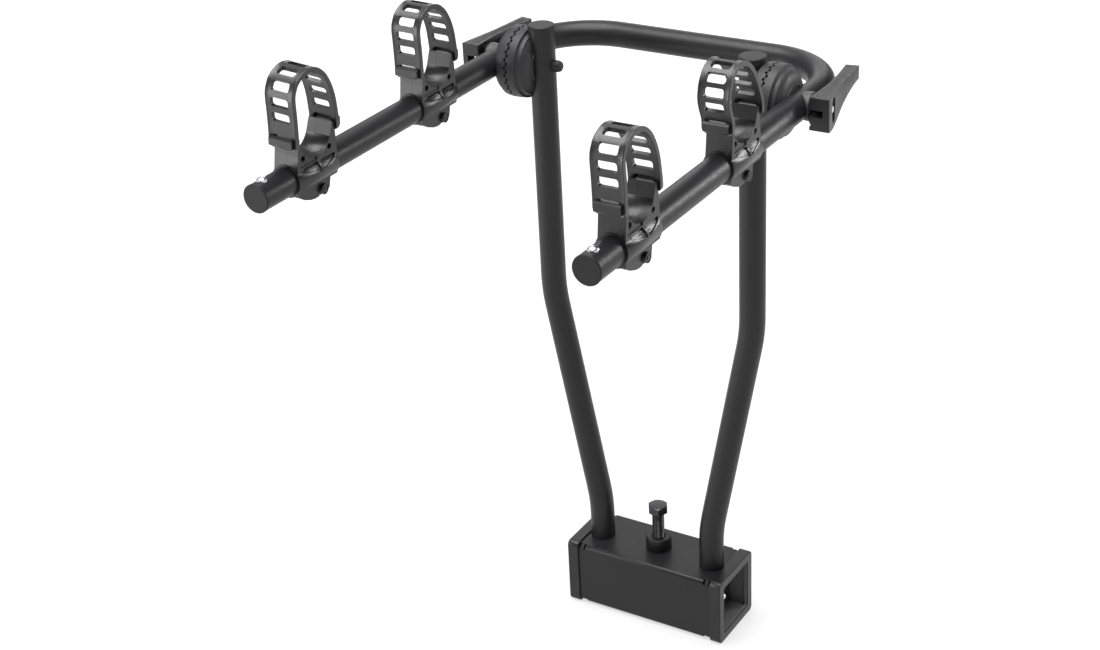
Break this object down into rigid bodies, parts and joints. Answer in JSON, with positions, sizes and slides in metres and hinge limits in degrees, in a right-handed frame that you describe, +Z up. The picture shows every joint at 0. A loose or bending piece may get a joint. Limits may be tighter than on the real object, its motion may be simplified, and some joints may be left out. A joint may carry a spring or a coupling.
{
  "type": "bicycle carrier",
  "caption": "Tow ball bicycle carrier with a clamped box base, bent uprights, a folding U frame on knuckle hubs with cam levers, and sliding cradles with rubber ladder straps.",
  "frame": {"origin": "middle of the base box at the level of the lower edges of its end frames, where the tow ball's neck passes", "axes": "+Z up along the uprights, +X along the base box to the right seen from the bicycles' side, +Y towards the car"},
  "size_m": [0.4854, 0.627, 0.8736],
  "materials": {
    "powder_coat": "satin black",
    "cap_plastic": "satin",
    "hub_plastic": "matte",
    "washer_plastic": "matte",
    "cradle_plastic": "gloss",
    "strap_rubber": "semi matte",
    "zinc_steel": "bright zinc",
    "dark_steel": "black oxide"
  },
  "bodies": {
    "base": {"base_box": "powder_coat", "clamp_boss": "powder_coat", "end_frame_left": "cap_plastic", "end_frame_right": "cap_plastic", "upright_left": "powder_coat", "upright_right": "powder_coat", "upright_cap_left": "cap_plastic", "upright_cap_right": "cap_plastic", "foot_rivets": "zinc_steel", "upright_hub_left": "hub_plastic", "upright_hub_right": "hub_plastic", "pivot_bolts": "zinc_steel", "pivot_bolt_cap_left": "cap_plastic", "pivot_bolt_cap_right": "cap_plastic"},
    "tightening_bolt": {"clamp_bolt": "dark_steel"},
    "arms": {"carrying_frame": "powder_coat", "arm_end_cap_left": "cap_plastic", "arm_end_cap_right": "cap_plastic", "stop_rivets": "zinc_steel", "arm_hub_left": "hub_plastic", "arm_hub_right": "hub_plastic", "saddle_washer_left": "washer_plastic", "saddle_washer_right": "washer_plastic"},
    "nut_left": {"barrel_nut_left": "zinc_steel"},
    "nut_right": {"barrel_nut_right": "zinc_steel"},
    "lever_left": {"cam_lever_left": "hub_plastic"},
    "lever_right": {"cam_lever_right": "hub_plastic"},
    "holder_front_left": {"cradle_front_left": "cradle_plastic", "strap_front_left": "strap_rubber", "cradle_screw_front_left": "dark_steel", "cradle_nut_front_left": "dark_steel"},
    "holder_front_right": {"cradle_front_right": "cradle_plastic", "strap_front_right": "strap_rubber", "cradle_screw_front_right": "dark_steel", "cradle_nut_front_right": "dark_steel"},
    "holder_rear_left": {"cradle_rear_left": "cradle_plastic", "strap_rear_left": "strap_rubber", "cradle_screw_rear_left": "dark_steel", "cradle_nut_rear_left": "dark_steel"},
    "holder_rear_right": {"cradle_rear_right": "cradle_plastic", "strap_rear_right": "strap_rubber", "cradle_screw_rear_right": "dark_steel", "cradle_nut_rear_right": "dark_steel"}
  },
  "joints": [
    {"name": "arm_fold", "type": "hinge", "parent": "base", "child": "arms", "pos_m": [0, -0.006, 0.75], "axis": [1, 0, 0], "range_deg": [0, 90]},
    {"name": "clamp_bolt_turn_in", "type": "slide", "parent": "base", "child": "tightening_bolt", "axis": [0, 0, -1], "range_m": [-0.02, 0.036]},
    {"name": "nut_draw_left", "type": "slide", "parent": "arms", "child": "nut_left", "axis": [-1, 0, 0], "range_m": [0, 0.0083]},
    {"name": "lever_swing_left", "type": "hinge", "parent": "nut_left", "child": "lever_left", "pos_m": [-0.231, -0.006, 0.75], "axis": [0, 0, 1], "range_deg": [0, 40]},
    {"name": "nut_draw_right", "type": "slide", "parent": "arms", "child": "nut_right", "axis": [1, 0, 0], "range_m": [0, 0.0083]},
    {"name": "lever_swing_right", "type": "hinge", "parent": "nut_right", "child": "lever_right", "pos_m": [0.231, -0.006, 0.75], "axis": [0, 0, -1], "range_deg": [0, 40]},
    {"name": "slide_front_left", "type": "slide", "parent": "arms", "child": "holder_front_left", "axis": [0, 1, 0], "range_m": [-0.028, 0.05]},
    {"name": "slide_front_right", "type": "slide", "parent": "arms", "child": "holder_front_right", "axis": [0, 1, 0], "range_m": [-0.023, 0.05]},
    {"name": "slide_rear_left", "type": "slide", "parent": "arms", "child": "holder_rear_left", "axis": [0, 1, 0], "range_m": [-0.05, 0.06]},
    {"name": "slide_rear_right", "type": "slide", "parent": "arms", "child": "holder_rear_right", "axis": [0, 1, 0], "range_m": [-0.05, 0.06]}
  ],
  "couplings": [
    {"joint": "nut_draw_left", "follows": "lever_swing_left", "m_per_rad": 0.01146},
    {"joint": "nut_draw_right", "follows": "lever_swing_right", "m_per_rad": 0.01146}
  ]
}
